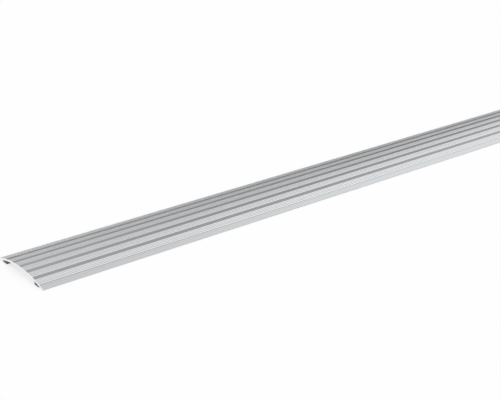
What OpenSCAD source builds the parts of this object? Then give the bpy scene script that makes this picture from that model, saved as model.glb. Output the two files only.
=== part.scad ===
// Self-adhesive threshold strip: a shallow domed, grooved aluminium cover profile that
// bridges the joint between two floors and is held by a foam tape under each long edge.
// Origin: middle of the footprint, on the surface that the release liners rest on.
// X runs along the doorway, Y across it (front edge at -Y), Z up.

/* [Strip] */
// Length of the strip, along the doorway
strip_length = 900; // [300:10:2700]
// Width of the strip, across the doorway
strip_width = 40; // [38:1:60]
// Height of the aluminium profile, from its feet to the top of the crown
profile_height = 3.75; // [3.5:0.05:5]
// Thickness of the profile's wall, from the top of the ribs to the underside
wall_thickness = 1.1; // [1:0.05:1.3]

/* [Bevelled edges] */
// Width of the plain bevel along each long edge
bevel_width = 3; // [2.5:0.1:3.5]
// Height above the feet of the crease where the bevel meets the crown
crease_height = 1.4; // [1.2:0.05:1.6]
// Height of the upright nose at the bottom of each bevel
nose_height = 0.2; // [0.1:0.05:0.4]
// Size of the chamfer that breaks the nose's lower edge
nose_chamfer = 0.1; // [0.05:0.01:0.15]

/* [Grooves] */
// Number of wide, shallow grooves along the crown
groove_count = 5; // [3:1:6]
// Width of a groove at its mouth
groove_width = 1.9; // [1.5:0.1:2.2]
// Width lost on each side between a groove's mouth and its floor
groove_draft = 0.2; // [0.1:0.05:0.3]
// Depth of a groove below the top of the ribs
groove_depth = 0.15; // [0.15:0.05:0.4]

/* [Fine ribs] */
// Number of fine ribs on each land between two grooves
rib_count = 4; // [2:1:5]
// Height of a fine rib above the valleys beside it
rib_height = 0.12; // [0.05:0.01:0.15]
// Plain margin between a land's outer ribs and its edges
land_margin = 0.08; // [0.05:0.01:0.15]

/* [Foam tape] */
// Width of each foam tape
tape_width = 3.5; // [3:0.5:6]
// Distance from the strip's long edge to the tape
tape_inset = 4; // [2.8:0.1:4.5]
// Thickness of the glue on each face of the foam
glue_thickness = 0.06; // [0.05:0.01:0.1]
// Thickness of the paper release liner
liner_thickness = 0.1; // [0.08:0.01:0.12]
// Height of the profile's feet above the surface while the liners are still on
foot_gap = 0.2; // [0.15:0.05:0.4]

/* [Hidden] */

half_width = strip_width / 2;
crown_top = foot_gap + profile_height;
crown_half_span = half_width - bevel_width;
land_width = (2 * crown_half_span - groove_count * groove_width) / (groove_count + 1);
rib_pitch = (land_width - 2 * land_margin) / rib_count;
steps_per_rib = 6;
underside_steps = 24;

// The crown is an arc through the rib tops at its middle and beside both creases
crown_rise = profile_height - crease_height - rib_height;
crown_radius = (crown_half_span ^ 2 + crown_rise ^ 2) / (2 * crown_rise);
underside_radius = crown_radius - wall_thickness;

// Height of the rib tops, and of the profile's underside, at distance y from the middle
function crown_z(y) = crown_top - crown_radius + sqrt(crown_radius ^ 2 - y ^ 2);
function underside_z(y) =
    crown_top - wall_thickness - underside_radius + sqrt(underside_radius ^ 2 - y ^ 2);

// Distance from the middle at which the underside runs out into the flat foot
foot_drop = profile_height - wall_thickness;
foot_inner = sqrt(underside_radius ^ 2 - (underside_radius - foot_drop) ^ 2);

// The seat that the tape is stuck to is flat across its width and slopes with the underside
seat_outer = half_width - tape_inset;
seat_inner = seat_outer - tape_width;
seat_slope = (underside_z(seat_outer) - underside_z(seat_inner)) / tape_width;
function seat_z(y) = underside_z(seat_inner) + (y - seat_inner) * seat_slope;

// A point on the crown at y, sunk below the rib tops by depth
function crown_point(y, depth) = [y, crown_z(y) - depth];

// Left end of land number k, counted from the front crease
function land_start(k) = -crown_half_span + k * (land_width + groove_width);

// One land: valley level at both ends, and a row of rounded ribs between its margins
function land_points(k) = [
    crown_point(land_start(k), rib_height),
    for (step = [0 : rib_count * steps_per_rib])
        let (y = land_start(k) + land_margin + step * rib_pitch / steps_per_rib,
             hump = sin(180 * step / steps_per_rib) ^ 2)
        crown_point(y, rib_height * (1 - hump)),
    crown_point(land_start(k) + land_width, rib_height)
];

// One groove, to the right of land number k: a curved floor between drafted sides
function groove_points(k) =
    let (mouth = land_start(k) + land_width,
         middle = mouth + groove_width / 2)
    [
        crown_point(mouth + groove_draft, groove_depth),
        crown_point(middle, groove_depth),
        crown_point(mouth + groove_width - groove_draft, groove_depth)
    ];

// The whole crown, from the front crease to the rear crease
function crown_points() = [
    for (k = [0 : groove_count])
        each (k < groove_count ? concat(land_points(k), groove_points(k)) : land_points(k))
];

// Half of the lower outline, from the nose inward; side is -1 at the front and 1 at the rear
function edge_points(side) = [
    [side * half_width, foot_gap + nose_height],
    [side * half_width, foot_gap + nose_chamfer],
    [side * (half_width - nose_chamfer), foot_gap],
    [side * foot_inner, foot_gap],
    [side * seat_outer, seat_z(seat_outer)],
    [side * seat_inner, seat_z(seat_inner)]
];

// The arched underside between the two seats, from the rear to the front
function arch_points() = [
    for (step = [1 : underside_steps - 1])
        let (y = seat_inner * (1 - 2 * step / underside_steps))
        [y, underside_z(y)]
];

function reversed(list) = [for (i = [len(list) - 1 : -1 : 0]) list[i]];

// Draws a section in the YZ plane along the whole strip
module along_strip() {
    rotate([90, 0, 90])
        linear_extrude(height = strip_length, center = true)
            children();
}

// The extruded aluminium cover: bevels, grooved and ribbed crown, feet and tape seats
module cover_profile() {
    color([0.78, 0.79, 0.8])
        along_strip()
            polygon(concat(crown_points(), edge_points(1), arch_points(),
                           reversed(edge_points(-1))));
}

// A layer of the tape from bottom to the sloping line that lies drop below the seat
module sloped_layer(side, bottom_outer, bottom_inner, drop) {
    along_strip()
        polygon([
            [side * seat_outer, bottom_outer],
            [side * seat_outer, seat_z(seat_outer) - drop],
            [side * seat_inner, seat_z(seat_inner) - drop],
            [side * seat_inner, bottom_inner]
        ]);
}

// A flat layer of the tape between two heights
module flat_layer(side, bottom, thickness) {
    along_strip()
        polygon([
            [side * seat_outer, bottom],
            [side * seat_outer, bottom + thickness],
            [side * seat_inner, bottom + thickness],
            [side * seat_inner, bottom]
        ]);
}

// The glue that holds the foam to the profile
module upper_glue(side) {
    color([0.86, 0.85, 0.78])
        sloped_layer(side, seat_z(seat_outer) - glue_thickness,
                     seat_z(seat_inner) - glue_thickness, 0);
}

// The foam: wedge section, level below and sloping with the profile above
module foam_tape(side) {
    color([0.2, 0.2, 0.21])
        sloped_layer(side, liner_thickness + glue_thickness,
                     liner_thickness + glue_thickness, glue_thickness);
}

// The glue that will hold the foam to the floor
module lower_glue(side) {
    color([0.86, 0.85, 0.78])
        flat_layer(side, liner_thickness, glue_thickness);
}

// The paper that covers the lower glue until the strip is laid
module release_liner(side) {
    color([0.93, 0.92, 0.87])
        flat_layer(side, 0, liner_thickness);
}

cover_profile();
upper_glue(-1);  // front_upper_glue
foam_tape(-1);  // front_foam_tape
lower_glue(-1);  // front_lower_glue
release_liner(-1);  // front_release_liner
upper_glue(1);  // rear_upper_glue
foam_tape(1);  // rear_foam_tape
lower_glue(1);  // rear_lower_glue
release_liner(1);  // rear_release_liner
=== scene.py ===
"""Looks of the self-adhesive threshold strip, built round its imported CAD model.

X runs along the strip, Y across it, Z up. Blender works in metres; sizes below are in
millimetres and are turned into metres by MM.
"""
import math

import bmesh
import bpy
from mathutils import Euler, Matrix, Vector, noise


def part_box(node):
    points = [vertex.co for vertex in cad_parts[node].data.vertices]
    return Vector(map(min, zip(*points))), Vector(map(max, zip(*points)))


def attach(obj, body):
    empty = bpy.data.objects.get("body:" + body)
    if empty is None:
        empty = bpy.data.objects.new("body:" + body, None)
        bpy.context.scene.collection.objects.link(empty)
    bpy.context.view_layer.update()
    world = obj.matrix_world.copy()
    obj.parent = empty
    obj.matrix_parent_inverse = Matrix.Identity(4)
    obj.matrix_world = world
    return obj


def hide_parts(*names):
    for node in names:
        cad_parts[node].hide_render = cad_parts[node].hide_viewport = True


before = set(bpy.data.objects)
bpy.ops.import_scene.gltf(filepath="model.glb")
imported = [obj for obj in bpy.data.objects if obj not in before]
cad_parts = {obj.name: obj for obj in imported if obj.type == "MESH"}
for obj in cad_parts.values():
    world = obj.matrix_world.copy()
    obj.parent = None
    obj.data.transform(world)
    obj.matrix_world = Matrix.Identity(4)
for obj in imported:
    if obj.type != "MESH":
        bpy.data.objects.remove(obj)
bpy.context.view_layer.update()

MM = 0.001
SIDES = {"front": -1, "rear": 1}

# ---------------------------------------------------------------- sizes, in millimetres
PROFILE_HEIGHT = 3.75      # feet to rib tops at the middle of the crown
BEVEL_WIDTH = 3.0          # plain bevel along each long edge
CREASE_HEIGHT = 1.4        # above the feet, where bevel and crown meet
NOSE_HEIGHT = 0.2          # upright nose at the foot of the bevel
WALL = 1.1                 # rib tops to underside
GROOVE_COUNT = 5
GROOVE_WIDTH = 1.9
GROOVE_DRAFT = 0.2         # width lost on each side between mouth and floor
GROOVE_DEPTH = 0.15        # below the rib tops
GROOVE_CORNER = 0.15       # radius where a groove's floor meets its sides
RIB_COUNT = 4              # fine ribs on each land
RIB_STEPS = 12             # outline points along one rib
RIB_HEIGHT = 0.12          # above the valleys between the ribs
LAND_MARGIN = 0.08         # plain margin between a land's outer ribs and its edges
CREASE_SHADE_WIDTH = 0.12         # width on the bevel of the line of painted shade in the crease
CREASE_SHADE_FADE = 0.06         # width over which that line fades out
NOSE_RADIUS = 0.12         # both corners of the nose
FOOT_RADIUS = 0.3          # where a foot runs out into the sloping underside
CUT_CHAMFER = 0.07         # broken edge round each sawn end
SAW_CENTRE = (0, 80, -95)  # a point on the axis of the saw that cut the ends

GLUE = 0.06                # thickness of the glue between foam and profile
FOAM_WAIST = 0.16          # how far the foam's long edges curve in at half height
FOAM_WAVER = 0.12          # unevenness of the slit edges of each kind of layer
GLUE_WAVER = 0.1
PAPER_WAVER = 0.03
FOAM_SPACING = 1.0         # length of one stretch of the foam's mesh
FILM_SPACING = 4.0         # the same for glue and paper
LAYER_CHAMFER = 0.015      # broken edge at the ends of a layer
SLIT_WAVES = (             # wavelength; steps in the noise from edge to edge and from the seed
    (23.0, 7.1, 0.0),
    (2.3, 3.7, 0.5),
)
SLIT_WAVE_SHARE = 0.35     # of the waver, for each of the two waves


# ---------------------------------------------------------------- small helpers
def cad_size(node):
    """Lowest and highest corner of a CAD node, in millimetres."""
    low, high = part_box(node)
    return low / MM, high / MM


def new_object(name, mesh):
    """A new object in the scene, made of mesh."""
    piece = bpy.data.objects.new(name, mesh)
    bpy.context.scene.collection.objects.link(piece)
    return piece


def settle(piece, body, node, slot, *materials):
    """Gives a piece its materials, hangs it on the body it rides on and hides the CAD node it
    stands in for.
    """
    for made in materials:
        piece.data.materials.append(made)
    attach(piece, body)
    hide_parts(node)


# ---------------------------------------------------------------- outlines and sweeps
class Point:
    """A point of a section: place, radius of its corner, and how far it belongs to a zone."""

    def __init__(self, y, z, radius=0.0, zone="plain", share=0.0):
        self.place = Vector((y, z))
        self.radius = radius
        self.zone = zone
        self.share = share

    def moved_to(self, place, radius=0.0):
        """The same point of the section at another place."""
        return Point(place.x, place.y, radius, self.zone, self.share)


def rounded(points):
    """A closed outline in which each point with a radius is turned into a small arc.

    A further point on either side of the arc keeps the faces beside it flat."""
    arc_steps = 4
    shoulder = 1.3          # distance of those points, as a share of the arc's reach
    longest = 0.35          # longest reach, as a share of the side it runs along
    outline = []
    for i, point in enumerate(points):
        if point.radius == 0:
            outline.append(point)
            continue
        here = point.place
        before = points[i - 1].place - here
        after = points[(i + 1) % len(points)].place - here
        reach = point.radius / math.tan(before.angle(after) / 2)
        start = before.normalized() * min(reach, before.length * longest)
        end = after.normalized() * min(reach, after.length * longest)
        outline.append(point.moved_to(here + start * shoulder))
        for step in range(arc_steps + 1):
            t = step / arc_steps
            outline.append(point.moved_to(here + start * (1 - t) ** 2 + end * t ** 2))
        outline.append(point.moved_to(here + end * shoulder))
    return outline


def inset(points, amount):
    """The outline moved inwards by amount, whichever way round it runs."""
    places = [point.place for point in points]
    area = sum(a.x * b.y - b.x * a.y for a, b in zip(places, places[1:] + places[:1]))
    turn = math.copysign(1, area)
    moved = []
    for i, point in enumerate(points):
        before = (places[i] - places[i - 1]).normalized()
        after = (places[(i + 1) % len(places)] - places[i]).normalized()
        inward = Vector((-before.y - after.y, before.x + after.x)).normalized() * turn
        gain = Vector((-before.y, before.x)).dot(inward) * turn     # the sides' own move
        moved.append(point.moved_to(point.place + inward * (amount / gain), point.radius))
    return moved


def sweep(name, rings, smooth_angle, end_slot=0):
    """A closed mesh through rings of (x, outline), all in millimetres, with flat ends.

    The flat ends and the first band of faces beside each take material slot end_slot.
    The zone that a point belongs to becomes a vertex attribute of that name."""
    mesh = bpy.data.meshes.new(name)
    work = bmesh.new()
    loops = []
    for x, outline in rings:
        loops.append([work.verts.new((x * MM, p.place.x * MM, p.place.y * MM)) for p in outline])
    count = len(loops[0])
    last_band = len(loops) - 2
    for band, (first, second) in enumerate(zip(loops, loops[1:])):
        for i in range(count):
            j = (i + 1) % count
            face = work.faces.new((first[i], first[j], second[j], second[i]))
            face.material_index = end_slot if band in (0, last_band) else 0
    for loop in (loops[0], loops[-1]):
        work.faces.new(loop).material_index = end_slot
    bmesh.ops.recalc_face_normals(work, faces=work.faces)
    for face in work.faces:
        face.smooth = True
    work.to_mesh(mesh)
    work.free()
    zones = {point.zone for _, outline in rings for point in outline} - {"plain"}
    for zone in sorted(zones):
        layer = mesh.attributes.new(zone, "FLOAT", "POINT")
        values = [p.share if p.zone == zone else 0.0 for _, outline in rings for p in outline]
        layer.data.foreach_set("value", values)
    mesh.set_sharp_from_angle(angle=math.radians(smooth_angle))
    return new_object(name, mesh)


# ---------------------------------------------------------------- the cover's section
class Section:
    """The extruded section, worked out from the CAD boxes of cover and tape and the sizes above."""

    def __init__(self):
        low, high = cad_size("cover_profile")
        self.half_width = (high.y - low.y) / 2
        self.foot = low.z
        self.top = self.foot + PROFILE_HEIGHT
        tape_low, tape_high = cad_size("rear_foam_tape")
        self.seat_outer = tape_high.y
        self.seat_inner = tape_low.y
        self.half_span = self.half_width - BEVEL_WIDTH
        rise = PROFILE_HEIGHT - CREASE_HEIGHT - RIB_HEIGHT
        self.radius = (self.half_span ** 2 + rise ** 2) / (2 * rise)
        self.inner_radius = self.radius - WALL
        self.land = (2 * self.half_span - GROOVE_COUNT * GROOVE_WIDTH) / (GROOVE_COUNT + 1)
        self.rib_pitch = (self.land - 2 * LAND_MARGIN) / RIB_COUNT

    def crown(self, y, depth=0.0):
        """Height of the rib tops at y, less depth."""
        return self.top - depth - self.radius + math.sqrt(self.radius ** 2 - y ** 2)

    def underside(self, y):
        """Height of the arched underside at y."""
        radius = self.inner_radius
        return self.top - WALL - radius + math.sqrt(radius ** 2 - y ** 2)

    def seat(self, y):
        """Height at y, 0 or more, of the flat sloping seat that a tape is stuck to."""
        outer, inner = self.underside(self.seat_outer), self.underside(self.seat_inner)
        t = (y - self.seat_inner) / (self.seat_outer - self.seat_inner)
        return inner + (outer - inner) * t

    def land_start(self, number):
        """Where a land begins across the strip; number 0 is beside the front crease."""
        return -self.half_span + number * (self.land + GROOVE_WIDTH)

    def land_points(self, number):
        """One land; its share runs from a half in the valleys to 1 on the rib tops."""
        start = self.land_start(number)
        end = start + self.land
        points = [self.land_end(start)]
        for step in range(RIB_COUNT * RIB_STEPS + 1):
            y = start + LAND_MARGIN + step * self.rib_pitch / RIB_STEPS
            hump = math.sin(math.pi * step / RIB_STEPS) ** 2
            depth = RIB_HEIGHT * (1 - hump)
            # The share also paints a highlight on the rib tops in the metal's colour.
            points.append(Point(y, self.crown(y, depth), 0, "land", 0.5 + hump / 2))
        points.append(self.land_end(end))
        return points

    def land_end(self, y):
        """The end of a land, at valley height: the strip's crease or the edge of a groove."""
        z = self.crown(y, RIB_HEIGHT)
        # Crease and groove zones darken the metal's colour: painted shade.
        if abs(y) > self.half_span - LAND_MARGIN:
            return Point(y, z, 0, "crease", 1)
        return Point(y, z, 0, "groove", 1)

    def groove_points(self, number):
        """The floor of one groove, at the high-Y side of the land of the same number."""
        mouth = self.land_start(number) + self.land
        floor_width = GROOVE_WIDTH - 2 * GROOVE_DRAFT
        points = []
        floor_steps = 4
        for step in range(floor_steps + 1):
            y = mouth + GROOVE_DRAFT + floor_width * step / floor_steps
            radius = GROOVE_CORNER if step in (0, floor_steps) else 0
            # The groove zone darkens the metal's colour here: painted shade.
            points.append(Point(y, self.crown(y, GROOVE_DEPTH), radius, "groove", 1))
        return points

    def edge_points(self, side):
        """Half of the lower outline: bevel, nose, foot and seat, from the crease inward."""
        radius = self.inner_radius
        foot_drop = PROFILE_HEIGHT - WALL
        foot_inner = math.sqrt(radius ** 2 - (radius - foot_drop) ** 2)
        fall = (CREASE_HEIGHT - NOSE_HEIGHT) / BEVEL_WIDTH

        def bevel_point(distance, share):
            z = self.foot + CREASE_HEIGHT - fall * distance
            return Point(side * (self.half_span + distance), z, 0, "crease", share)

        return [
            # The first two points bound the line of painted shade beside the crease.
            bevel_point(CREASE_SHADE_WIDTH, 1),
            bevel_point(CREASE_SHADE_WIDTH + CREASE_SHADE_FADE, 0),
            Point(side * self.half_width, self.foot + NOSE_HEIGHT, NOSE_RADIUS),
            Point(side * self.half_width, self.foot, NOSE_RADIUS),
            Point(side * foot_inner, self.foot, FOOT_RADIUS, "under", 1),
            Point(side * self.seat_outer, self.seat(self.seat_outer), 0, "under", 1),
            Point(side * self.seat_inner, self.seat(self.seat_inner), 0, "under", 1),
        ]

    def arch_points(self):
        """The underside between the two seats, from the rear to the front."""
        arch_steps = 48
        points = []
        for step in range(1, arch_steps):
            y = self.seat_inner * (1 - 2 * step / arch_steps)
            points.append(Point(y, self.underside(y), 0, "under", 1))
        return points

    def outline(self, margin=0.0):
        """The whole closed outline, moved inwards by margin."""
        points = []
        for number in range(GROOVE_COUNT + 1):
            points += self.land_points(number)
            if number < GROOVE_COUNT:
                points += self.groove_points(number)
        points += self.edge_points(1)
        points += self.arch_points()
        points += reversed(self.edge_points(-1))
        return rounded(inset(points, margin))


def make_cover(section):
    """The extrusion, with a broken edge round both sawn ends."""
    low, high = cad_size("cover_profile")
    outline = section.outline()
    end_outline = section.outline(CUT_CHAMFER)
    reach = high.x - low.x - 2 * CUT_CHAMFER
    stretches = 18
    rings = [(low.x, end_outline)]
    for step in range(stretches + 1):
        rings.append((low.x + CUT_CHAMFER + reach * step / stretches, outline))
    rings.append((high.x, end_outline))
    return sweep("ribbed_cover", rings, smooth_angle=40, end_slot=1)


# ---------------------------------------------------------------- the tapes
def layer_ring(low_edge, high_edge, bottom, top, waist, margin):
    """Section of a tape layer between the lines bottom(y) and top(y), inset by margin.

    Its long edges are drawn in by waist at half height."""
    across = 6
    up = 6
    low_edge, high_edge = low_edge + margin, high_edge - margin

    def at(t, h):
        """The point at share t of the way across and share h of the way up."""
        y = low_edge + (high_edge - low_edge) * t
        y += waist * 4 * h * (1 - h) * (1 - 2 * t)
        foot, head = bottom(y) + margin, top(y) - margin
        return Point(y, foot + (head - foot) * h)

    ring = [at(step / across, 0) for step in range(across)]
    ring += [at(1, step / up) for step in range(up)]
    ring += [at(1 - step / across, 1) for step in range(across)]
    ring += [at(0, 1 - step / up) for step in range(up)]
    return ring


def make_layer(name, node, bottom, top, waist, waver, spacing):
    """One layer of a tape along the whole strip, with slit edges uneven by up to waver.

    bottom(y) and top(y) are its heights, waist draws in its long edges, and spacing is the
    length of one stretch of its mesh."""
    low, high = cad_size(node)
    seed = sum(map(ord, name))

    def edge(x, which):
        """How far the slit lies inside the CAD edge, for long edge number which."""
        share = 0.5
        for wavelength, edge_step, seed_step in SLIT_WAVES:
            spot = Vector((x / wavelength, which * edge_step, seed + seed_step))
            share += SLIT_WAVE_SHARE * noise.noise(spot)
        return waver * share

    def ring(x, margin=0.0):
        low_edge, high_edge = low.y + edge(x, 1), high.y - edge(x, 2)
        return x, layer_ring(low_edge, high_edge, bottom, top, waist, margin)

    stretches = round((high.x - low.x) / spacing)
    reach = high.x - low.x - 2 * LAYER_CHAMFER
    rings = [ring(low.x, LAYER_CHAMFER)]
    for step in range(stretches + 1):
        rings.append(ring(low.x + LAYER_CHAMFER + reach * step / stretches))
    rings.append(ring(high.x, LAYER_CHAMFER))
    return sweep(name, rings, smooth_angle=50)


def make_tape(section, side_name, materials):
    """The four layers of one tape: glue, foam, glue and the paper liner."""
    side = SIDES[side_name]
    foam_low, _ = cad_size(side_name + "_foam_tape")
    liner_low, liner_high = cad_size(side_name + "_release_liner")

    def below_seat(depth):
        return lambda y: section.seat(side * y) - depth

    def level(z):
        return lambda y: z

    rows = [               # node, piece, slot, body; bottom, top, waist, waver, mesh spacing
        ("upper_glue", "glue_film_upper", "glue", "strip",
         below_seat(GLUE), below_seat(0), 0, GLUE_WAVER, FILM_SPACING),
        ("foam_tape", "foam", "foam", "strip",
         level(foam_low.z), below_seat(GLUE), FOAM_WAIST, FOAM_WAVER, FOAM_SPACING),
        ("lower_glue", "glue_film_lower", "glue", "strip",
         level(liner_high.z), level(foam_low.z), 0, GLUE_WAVER, FILM_SPACING),
        ("release_liner", "liner_paper", "liner", side_name + "_liner",
         level(liner_low.z), level(liner_high.z), 0, PAPER_WAVER, FILM_SPACING),
    ]
    for node_ending, piece_ending, slot, body, bottom, top, waist, waver, spacing in rows:
        node = side_name + "_" + node_ending
        name = side_name + "_" + piece_ending
        piece = make_layer(name, node, bottom, top, waist, waver, spacing)
        settle(piece, body, node, slot, *materials[slot])


# ---------------------------------------------------------------- materials
class Shader:
    """One material's node tree, with short ways to add to it."""

    def __init__(self, name, roughness, metallic=0.0):
        self.material = bpy.data.materials.new(name)
        self.material.use_nodes = True
        self.tree = self.material.node_tree
        self.surface = self.tree.nodes["Principled BSDF"]
        self.surface.inputs["Roughness"].default_value = roughness
        self.surface.inputs["Metallic"].default_value = metallic
        self.coordinates = self.tree.nodes.new("ShaderNodeTexCoord")

    def feed(self, node, socket, value):
        """Links value to the socket if it is another node's output, else sets it."""
        if isinstance(value, bpy.types.NodeSocket):
            self.tree.links.new(value, node.inputs[socket])
        else:
            node.inputs[socket].default_value = value

    def stretched(self, x, y, z, turn=0.0, centre=(0, 0, 0)):
        """Coordinates from centre in which one unit is x by y by z mm, turned about Z."""
        mapping = self.tree.nodes.new("ShaderNodeMapping")
        mapping.vector_type = "TEXTURE"
        mapping.inputs["Location"].default_value = Vector(centre) * MM
        mapping.inputs["Rotation"].default_value = (0, 0, turn)
        mapping.inputs["Scale"].default_value = (x * MM, y * MM, z * MM)
        self.tree.links.new(self.coordinates.outputs["Object"], mapping.inputs["Vector"])
        return mapping.outputs[0]

    def noise(self, vector, detail=2.0, roughness=0.5):
        """Soft noise, 0 to 1, in lumps about one unit across."""
        node = self.tree.nodes.new("ShaderNodeTexNoise")
        node.inputs["Scale"].default_value = 1.0
        node.inputs["Detail"].default_value = detail
        node.inputs["Roughness"].default_value = roughness
        self.tree.links.new(vector, node.inputs["Vector"])
        return node.outputs["Fac"]

    def cells(self, vector):
        """Distance from the middle of the nearest cell."""
        node = self.tree.nodes.new("ShaderNodeTexVoronoi")
        node.inputs["Scale"].default_value = 1.0
        self.tree.links.new(vector, node.inputs["Vector"])
        return node.outputs["Distance"]

    def arcs(self, vector, distortion):
        """Rings about the X axis, one for each unit of distance from it."""
        node = self.tree.nodes.new("ShaderNodeTexWave")
        node.wave_type = "RINGS"
        node.rings_direction = "X"
        node.inputs["Scale"].default_value = 0.314    # the node turns 20 radians in one unit
        node.inputs["Distortion"].default_value = distortion
        node.inputs["Detail"].default_value = 3.0
        node.inputs["Detail Scale"].default_value = 0.4
        self.tree.links.new(vector, node.inputs["Vector"])
        return node.outputs["Fac"]

    def zone(self, name):
        """How far a point belongs to a zone of the section, from 0 to 1."""
        node = self.tree.nodes.new("ShaderNodeAttribute")
        node.attribute_name = name
        return node.outputs["Fac"]

    def spread(self, value, low, high, start=0.0, end=1.0):
        """value, running from start to end, turned into low to high and held there."""
        node = self.tree.nodes.new("ShaderNodeMapRange")
        self.feed(node, "Value", value)
        for socket, number in (("From Min", start), ("From Max", end),
                               ("To Min", low), ("To Max", high)):
            node.inputs[socket].default_value = number
        return node.outputs[0]

    def math(self, operation, first, second):
        node = self.tree.nodes.new("ShaderNodeMath")
        node.operation = operation
        self.feed(node, 0, first)
        self.feed(node, 1, second)
        return node.outputs[0]

    def mixed(self, share, first, second, blend="MIX"):
        """Two colours mixed by share."""
        factor, colour_a, colour_b, result = 0, 6, 7, 2       # the node's sockets for colours
        node = self.tree.nodes.new("ShaderNodeMix")
        node.data_type = "RGBA"
        node.blend_type = blend
        self.feed(node, factor, share)
        self.feed(node, colour_a, first)
        self.feed(node, colour_b, second)
        return node.outputs[result]

    def bump(self, height, depth_mm, before=None):
        """Bump whose height of 1 stands depth_mm proud, laid over an earlier bump."""
        node = self.tree.nodes.new("ShaderNodeBump")
        node.inputs["Strength"].default_value = 1.0
        node.inputs["Distance"].default_value = depth_mm * MM
        self.feed(node, "Height", height)
        if before:
            self.tree.links.new(before, node.inputs["Normal"])
        return node.outputs[0]

    def set(self, socket, value):
        """Feeds one of the surface's own sockets."""
        self.feed(self.surface, socket, value)


def anodised_aluminium():
    """Satin anodised extrusion: die lines along its length, etched grain and a few scuffs.

    The rib tops carry a painted highlight over real polish, the grooves painted shade, and the
    crease above each bevel a line of painted shade."""
    shader = Shader("anodised_aluminium", 0.3, 1.0)
    die_lines = shader.noise(shader.stretched(600, 0.25, 0.25), 4, 0.6)
    streaks = shader.noise(shader.stretched(260, 1.6, 1.6), 3)
    grain = shader.noise(shader.stretched(0.25, 0.09, 0.09), 3, 0.6)
    clouds = shader.noise(shader.stretched(60, 25, 25), 2)
    scuffs = shader.spread(shader.noise(shader.stretched(9, 0.15, 0.15, 0.35), 3), 0, 1, 0.62, 0.7)
    land, groove, under = (shader.zone(name) for name in ("land", "groove", "under"))
    crease = shader.zone("crease")
    ribbed = shader.spread(land, 0, 1, 0, 0.5)
    # rib_top runs from the valleys to the rib tops: it paints a highlight on the tops and also
    # lowers their roughness.
    rib_top = shader.spread(land, 0, 1, 0.55, 0.95)

    plain = shader.mixed(streaks, (0.55, 0.565, 0.58, 1), (0.59, 0.605, 0.615, 1))
    valley = shader.mixed(streaks, (0.55, 0.565, 0.58, 1), (0.615, 0.63, 0.64, 1))
    # top is much lighter than valley: a painted highlight on the rib tops.
    top = shader.mixed(clouds, (0.775, 0.79, 0.80, 1), (0.83, 0.845, 0.855, 1))
    colour = shader.mixed(ribbed, plain, shader.mixed(rib_top, valley, top))
    # Grooves get a darker colour: painted shade in the grooves. Their slightly lower roughness is
    # real.
    colour = shader.mixed(groove, colour, (0.455, 0.47, 0.48, 1))
    colour = shader.mixed(under, colour, (0.56, 0.57, 0.57, 1))
    # A dark line of painted shade along the crease above each bevel.
    colour = shader.mixed(crease, colour, (0.27, 0.28, 0.29, 1))
    shade = shader.spread(die_lines, 0.9, 1.06, 0.3, 0.7)
    shader.set("Base Color", shader.mixed(1.0, colour, shade, "MULTIPLY"))

    roughness = shader.spread(streaks, 0.27, 0.34, 0.3, 0.7)
    for zone, change in ((rib_top, -0.04), (groove, -0.02), (under, 0.15), (scuffs, 0.08)):
        roughness = shader.math("ADD", roughness, shader.math("MULTIPLY", zone, change))
    shader.set("Roughness", roughness)

    relief = shader.bump(die_lines, 0.004)
    relief = shader.bump(grain, 0.002, relief)
    shader.set("Normal", shader.bump(scuffs, -0.003, relief))
    return shader.material


def sawn_aluminium():
    """Bare metal of the cut ends, with the curved marks of a circular saw."""
    shader = Shader("sawn_aluminium", 0.38, 1.0)
    coarse = shader.arcs(shader.stretched(0.5, 0.5, 0.5, centre=SAW_CENTRE), 3.0)
    fine = shader.arcs(shader.stretched(0.12, 0.12, 0.12, centre=SAW_CENTRE), 4.0)
    torn = shader.noise(shader.stretched(0.05, 0.25, 0.05), 4, 0.7)
    metal = shader.mixed(coarse, (0.92, 0.922, 0.925, 1), (0.98, 0.98, 0.98, 1))
    shade = shader.spread(torn, 0.92, 1.02, 0.3, 0.7)
    shader.set("Base Color", shader.mixed(1.0, metal, shade, "MULTIPLY"))
    shader.set("Roughness", shader.spread(torn, 0.3, 0.46, 0.3, 0.7))
    relief = shader.bump(coarse, 0.005)
    relief = shader.bump(fine, 0.002, relief)
    shader.set("Normal", shader.bump(torn, 0.004, relief))
    return shader.material


def foam():
    """Slit closed-cell foam: cut bubbles of two sizes with paler walls between them."""
    shader = Shader("closed_cell_foam", 0.85)
    large = shader.cells(shader.stretched(0.42, 0.36, 0.3))
    small = shader.cells(shader.stretched(0.15, 0.15, 0.15))
    blotches = shader.noise(shader.stretched(6, 2, 2), 2)
    walls = shader.math("ADD", shader.spread(large, 0, 0.6, 0.3, 0.8),
                        shader.spread(small, 0, 0.4, 0.3, 0.8))
    colour = shader.mixed(walls, (0.06, 0.06, 0.064, 1), (0.19, 0.19, 0.2, 1))
    shade = shader.spread(blotches, 0.85, 1.15, 0.3, 0.7)
    shader.set("Base Color", shader.mixed(1.0, colour, shade, "MULTIPLY"))
    shader.set("Roughness", shader.spread(walls, 0.9, 0.7))
    shader.set("Normal", shader.bump(walls, 0.05))
    return shader.material


def glue():
    """Acrylic glue film: pale, glossy and slightly lumpy, with dust caught in it."""
    shader = Shader("acrylic_glue", 0.25)
    lumps = shader.noise(shader.stretched(1.4, 0.3, 0.08), 3)
    dust = shader.spread(shader.cells(shader.stretched(0.9, 0.9, 0.9)), 1, 0, 0.08, 0.14)
    film = shader.mixed(lumps, (0.70, 0.665, 0.53, 1), (0.84, 0.82, 0.72, 1))
    shader.set("Base Color", shader.mixed(dust, film, (0.35, 0.33, 0.3, 1)))
    shader.set("Roughness", shader.spread(lumps, 0.16, 0.36, 0.3, 0.7))
    shader.set("Normal", shader.bump(lumps, 0.02))
    shader.surface.inputs["IOR"].default_value = 1.47
    return shader.material


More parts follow.
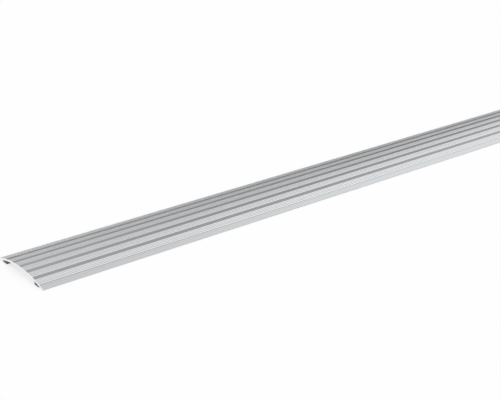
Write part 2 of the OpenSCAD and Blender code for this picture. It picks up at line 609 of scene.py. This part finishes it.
def liner_paper():
    """Siliconised buff paper: mottled fibres under a thin, slightly glossy coat."""
    shader = Shader("siliconised_paper", 0.5)
    fibres = shader.noise(shader.stretched(1.2, 0.12, 0.12, 0.5), 4, 0.65)
    crossed = shader.noise(shader.stretched(0.9, 0.12, 0.12, -0.7), 4, 0.65)
    mottle = shader.noise(shader.stretched(3, 2, 2), 4)
    cockle = shader.noise(shader.stretched(14, 4, 4), 1)
    weave = shader.math("MULTIPLY", shader.math("ADD", fibres, crossed), 0.5)
    sheet = shader.mixed(mottle, (0.56, 0.51, 0.39, 1), (0.68, 0.63, 0.51, 1))
    shade = shader.spread(weave, 0.9, 1.05, 0.35, 0.65)
    shader.set("Base Color", shader.mixed(1.0, sheet, shade, "MULTIPLY"))
    shader.set("Roughness", shader.spread(mottle, 0.42, 0.58, 0.3, 0.7))
    shader.surface.inputs["Coat Weight"].default_value = 0.25
    shader.surface.inputs["Coat Roughness"].default_value = 0.3
    relief = shader.bump(weave, 0.006)
    shader.set("Normal", shader.bump(cockle, 0.08, relief))
    return shader.material


# ---------------------------------------------------------------- stage
FLOOR_GLOW = 0.64          # brightness of the light from under the floor
AMBIENT = 0.1              # brightness of the studio between the softboxes
SOFTBOXES = [              # azimuth, elevation, radius in degrees, strength
    (18, 16, 20, 0.10),
    (30, 22, 18, 0.35),
    (12, 32, 24, 0.43),
    (22, 48, 28, 0.25),
    (48, 20, 18, 0.21),
    (66, 22, 20, 0.11),
    (78, 8, 18, 0.27),
    (70, 38, 30, 0.49),
    (92, 36, 30, 0.74),
    (110, 18, 28, 0.30),
    (168, 25, 32, 0.30),
    (190, 30, 40, 0.50),
    (240, 30, 45, 0.55),
    (300, 30, 45, 0.55),
    (180, 60, 45, 0.22),
    (0, 90, 55, 0.93),
]


def make_floor():
    """A light table: pale, evenly lit from below, so the strip throws only faint shadows."""
    mesh = bpy.data.meshes.new("studio_floor")
    reach = 60.0            # metres each way, past the edge of every view
    corners = [(-reach, -reach, 0), (reach, -reach, 0), (reach, reach, 0), (-reach, reach, 0)]
    mesh.from_pydata(corners, [], [(0, 1, 2, 3)])
    floor = new_object("studio_floor", mesh)
    shader = Shader("pale_floor", 0.9)
    shader.set("Base Color", (0.4, 0.4, 0.4, 1))
    shader.set("Emission Color", (1, 1, 1, 1))
    shader.set("Emission Strength", FLOOR_GLOW)
    shader.set("Specular IOR Level", 0.0)
    mesh.materials.append(shader.material)


class Studio:
    """The world's node tree: brightness as a function of direction."""

    def __init__(self, ambient):
        world = bpy.data.worlds.new("studio")
        bpy.context.scene.world = world
        world.use_nodes = True
        self.tree = world.node_tree
        self.direction = self.tree.nodes.new("ShaderNodeTexCoord").outputs["Generated"]
        self.light = self.tree.nodes.new("ShaderNodeValue").outputs[0]
        self.light.default_value = ambient

    def add_softbox(self, azimuth, elevation, radius, strength):
        """A round glow that fades to nothing at radius; azimuth 0 is +Y and 90 is +X."""
        azimuth, elevation = math.radians(azimuth), math.radians(elevation)
        dot = self.tree.nodes.new("ShaderNodeVectorMath")
        dot.operation = "DOT_PRODUCT"
        dot.inputs[1].default_value = (math.sin(azimuth) * math.cos(elevation),
                                       math.cos(azimuth) * math.cos(elevation),
                                       math.sin(elevation))
        self.tree.links.new(self.direction, dot.inputs[0])
        fade = self.tree.nodes.new("ShaderNodeMapRange")
        fade.interpolation_type = "SMOOTHSTEP"
        fade.inputs["From Min"].default_value = math.cos(math.radians(radius))
        fade.inputs["From Max"].default_value = 1.0
        fade.inputs["To Max"].default_value = strength
        self.tree.links.new(dot.outputs["Value"], fade.inputs["Value"])
        total = self.tree.nodes.new("ShaderNodeMath")
        self.tree.links.new(self.light, total.inputs[0])
        self.tree.links.new(fade.outputs[0], total.inputs[1])
        self.light = total.outputs[0]

    def finish(self):
        self.tree.links.new(self.light, self.tree.nodes["Background"].inputs["Color"])


def make_world():
    """Soft studio: overlapping glows all round the strip and one overhead."""
    studio = Studio(AMBIENT)
    for softbox in SOFTBOXES:
        studio.add_softbox(*softbox)
    studio.finish()


def make_camera():
    """A long lens low over the strip's near-left end, looking along it to the right."""
    near_corner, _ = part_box("cover_profile")
    camera_data = bpy.data.cameras.new("camera")
    camera_data.sensor_width = 36.0
    camera_data.lens = 76.6
    camera = bpy.data.objects.new("camera", camera_data)
    bpy.context.scene.collection.objects.link(camera)
    camera.location = near_corner + Vector((-0.1812, -0.3609, 0.2030))    # metres
    down = math.radians(22.36)
    right = math.radians(38.95)
    camera.rotation_euler = Euler((math.pi / 2 - down, 0, -right))
    bpy.context.scene.camera = camera


# ---------------------------------------------------------------- build
profile = Section()
metals = (anodised_aluminium(), sawn_aluminium())
settle(make_cover(profile), "strip", "cover_profile", "cover", *metals)
tape_materials = {"glue": [glue()], "foam": [foam()], "liner": [liner_paper()]}
for name in SIDES:
    make_tape(profile, name, tape_materials)
make_floor()
make_world()
make_camera()
bpy.context.scene.view_settings.view_transform = "Standard"
